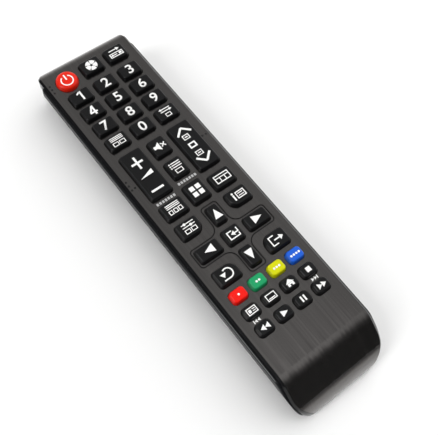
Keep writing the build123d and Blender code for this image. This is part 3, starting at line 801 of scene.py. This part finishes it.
film = bmesh.new()
for row_x, row_y in MARK_ROWS_MM:
    for index in range(MARKS_IN_ROW):
        x = row_x + (index - (MARKS_IN_ROW - 1) / 2) * MARK_PITCH_MM
        bar(film, x, row_y, MARK_WIDTH_MM, MARK_HEIGHT_MM)
lay(film, "print_face_marks", "case", Vector((0, 0, FACE_TOP_M)), pale_ink)

film = bmesh.new()
for side in (-1, 1):
    for shift in (-1.3, 0.1):
        wedge(film, side * (SKIP_X_MM + shift), side * 1.2, 1.5)
    bar(film, side * (SKIP_X_MM + 1.6), 0, 0.4, 1.5)
lay(film, "print_skip_marks", "case", Vector((0, SKIP_Y_M, FACE_TOP_M)), white_ink)

film = bmesh.new()
for x, y in GUIDE_DOTS_MM:
    disc(film, x, y, GUIDE_DOT_RADIUS_MM)
lay(film, "print_guide_dots", "case", Vector((0, 0, FACE_TOP_M)), dark_ink)


# Table. It is a sheet of matt white paper, far wider than the view, and the remote lies on it. The
# camera and the gloss of the remote see it a touch whiter than the light that it throws back.
FLOOR_WHITE = "#f7f7f6"
FLOOR_SHOWN = (0.948, 0.948, 0.94326, 1.0)
FLOOR_SIZE_M = 4.0

paper, surface = finish(
    "white_paper", {"Base Color": linear(FLOOR_WHITE), "Roughness": 1.0, "Specular IOR Level": 0.0},
)
path = add(paper, "ShaderNodeLightPath")
seen = path.outputs["Is Camera Ray"]
for ray in ("Is Glossy Ray", "Is Transmission Ray"):
    seen = add(
        paper, "ShaderNodeMath", {0: seen, 1: path.outputs[ray]}, operation="MAXIMUM",
    ).outputs[0]
shown = add(
    paper, "ShaderNodeMix", {0: seen}, {6: linear(FLOOR_WHITE), 7: FLOOR_SHOWN}, data_type="RGBA",
)
flat_paper = add(paper, "ShaderNodeBsdfDiffuse", {"Color": shown.outputs[2]})
join(paper, flat_paper.outputs["BSDF"], paper.node_tree.nodes["Material Output"], "Surface")
paper.node_tree.nodes.remove(surface)

ground = bmesh.new()
bmesh.ops.create_grid(ground, x_segments=1, y_segments=1, size=FLOOR_SIZE_M / 2)
sheet = bpy.data.meshes.new("floor")
ground.to_mesh(sheet)
ground.free()
floor = bpy.data.objects.new("floor", sheet)
bpy.context.scene.collection.objects.link(floor)
sheet.materials.append(paper)


# Room. It is a white studio. A soft strip lies overhead along the remote and is dark in front of
# the tail, so the bent tail shows its curve. The right wall is bright and the left one is shaded. A
# narrow bar of light stands at the left, and a dark card takes part of the right wall's light away.
WHITE = "#ffffff"
FAR_SHOWN = 0.83
STRIP_STOPS = (
    (-1.0, 0.16), (-0.95, 0.09), (-0.93, 0.045), (-0.905, 0.03), (-0.86, 0.045), (-0.75, 0.11),
    (-0.6, 0.2), (-0.37, 0.47), (-0.05, 0.65), (0.12, 0.46), (0.3, 0.33), (0.57, 0.3), (0.66, 0.4),
    (0.87, 0.75), (1.0, 1.2),
)
BAR_STOPS = ((-0.12, 0.0), (-0.04, 1.0), (0.2, 1.0), (0.3, 0.0))
BAR_STRENGTH = 6.6
CARD_FROM_Y = 0.14
CARD_TO_Y = 0.28
# Each fade runs along one axis of the room, from one place to another and from one level to another.
ROOM_FADES = {
    "right wall": ("X", 0.5, 0.75, 0.0, 1.15),
    "left wall": ("X", -0.7, -0.3, 0.55, 1.0),
    "bar side": ("X", -0.6, -0.5, 1.0, 0.0),
    "bar foot": ("Z", 0.3, 0.4, 0.0, 1.0),
    "bar top": ("Z", 0.8, 0.88, 1.0, 0.0),
    "card side": ("X", 0.35, 0.42, 0.0, 0.45),
}

room = bpy.data.worlds.new("room")
room.use_nodes = True
bpy.context.scene.world = room
way = add(room, "ShaderNodeTexCoord")
axes = add(room, "ShaderNodeSeparateXYZ", {"Vector": way.outputs["Generated"]})
lengthwise = add(
    room, "ShaderNodeMapRange", {"Value": axes.outputs["Y"]},
    {"From Min": -1.0, "From Max": 1.0, "To Min": 0.0, "To Max": 1.0},
)
ramps = []
for stops in (STRIP_STOPS, BAR_STOPS):
    ramp = add(room, "ShaderNodeValToRGB", {"Fac": lengthwise.outputs["Result"]})
    greys = ramp.color_ramp.elements
    while len(greys) < len(stops):
        greys.new(0.5)
    for grey, (reach, level) in zip(greys, stops):
        grey.position = (reach + 1) / 2
        grey.color = (level, level, level, 1.0)
    ramps.append(ramp.outputs["Color"])
strip, light_bar = ramps
fades = {}
for name, (axis, start, end, first, last) in ROOM_FADES.items():
    fades[name] = add(
        room, "ShaderNodeMapRange", {"Value": axes.outputs[axis]},
        {"From Min": start, "From Max": end, "To Min": first, "To Max": last},
        interpolation_type="SMOOTHSTEP",
    ).outputs["Result"]
for name in ("bar side", "bar foot", "bar top"):
    light_bar = add(
        room, "ShaderNodeMath", {0: light_bar, 1: fades[name]}, operation="MULTIPLY",
    ).outputs[0]
walls = add(
    room, "ShaderNodeMath", {0: strip, 1: fades["left wall"], 2: fades["right wall"]},
    operation="MULTIPLY_ADD",
)
card = add(
    room, "ShaderNodeMapRange", {"Value": axes.outputs["Y"], "To Min": fades["card side"]},
    {"From Min": CARD_FROM_Y, "From Max": CARD_TO_Y, "To Max": 0.0}, interpolation_type="SMOOTHSTEP",
)
uncovered = add(room, "ShaderNodeMath", {1: card.outputs["Result"]}, {0: 1.0}, operation="SUBTRACT")
carded = add(
    room, "ShaderNodeMath", {0: walls.outputs[0], 1: uncovered.outputs[0]}, operation="MULTIPLY",
)
total = add(
    room, "ShaderNodeMath", {0: light_bar, 2: carded.outputs[0]}, {1: BAR_STRENGTH},
    operation="MULTIPLY_ADD",
)
lit = room.node_tree.nodes["Background"]
lit.inputs["Color"].default_value = linear(WHITE)
join(room, total.outputs[0], lit, "Strength")

# Where the camera looks past the table, it sees the room as one pale grey.
far = add(room, "ShaderNodeBackground", values={"Color": linear(WHITE), "Strength": FAR_SHOWN})
ray = add(room, "ShaderNodeLightPath")
choice = add(
    room, "ShaderNodeMixShader", {0: ray.outputs["Is Camera Ray"], 1: lit.outputs[0], 2: far.outputs[0]},
)
join(room, choice.outputs[0], room.node_tree.nodes["World Output"], "Surface")


# Fill lamp. A large soft sheet of light hangs high at the right and leans towards the remote. It
# lights the table and the shadow's edge, and isn't seen in the gloss.
FILL_SIZE_M = 1.6
FILL_POWER_W = 8.8
FILL_AT_M = (0.35, 0.1, 1.0)
FILL_LEAN_DEG = 19

lamp = bpy.data.lights.new("fill", "AREA")
lamp.size = FILL_SIZE_M
lamp.energy = FILL_POWER_W
fill = bpy.data.objects.new("fill", lamp)
fill.matrix_world = Matrix.Translation(FILL_AT_M) @ Matrix.Rotation(radians(FILL_LEAN_DEG), 4, "Y")
fill.visible_glossy = False
bpy.context.scene.collection.objects.link(fill)


# Camera. It looks down on the remote from past its left tail corner. Its place, turn and lens were
# fitted to the places of the keys and to the outline of the case.
AZIMUTH = radians(45.8386)
ELEVATION = radians(63.1717)
ROLL = radians(8.9104)
CAMERA_AT_M = (-0.09522, -0.10429, 0.28515)
SENSOR_MM = 36
LENS_MM = 58.404

eye = bpy.data.cameras.new("camera")
eye.sensor_width = SENSOR_MM
eye.lens = LENS_MM
back_way = Vector((-sin(AZIMUTH) * cos(ELEVATION), -cos(AZIMUTH) * cos(ELEVATION), sin(ELEVATION)))
right = Vector((cos(AZIMUTH), -sin(AZIMUTH), 0))
up = back_way.cross(right)
rolled_right = cos(ROLL) * right + sin(ROLL) * up
rolled_up = -sin(ROLL) * right + cos(ROLL) * up
camera = bpy.data.objects.new("camera", eye)
turn = Matrix((rolled_right, rolled_up, back_way)).transposed().to_4x4()
camera.matrix_world = Matrix.Translation(CAMERA_AT_M) @ turn
bpy.context.scene.collection.objects.link(camera)
bpy.context.scene.camera = camera
bpy.context.scene.view_settings.view_transform = "Standard"
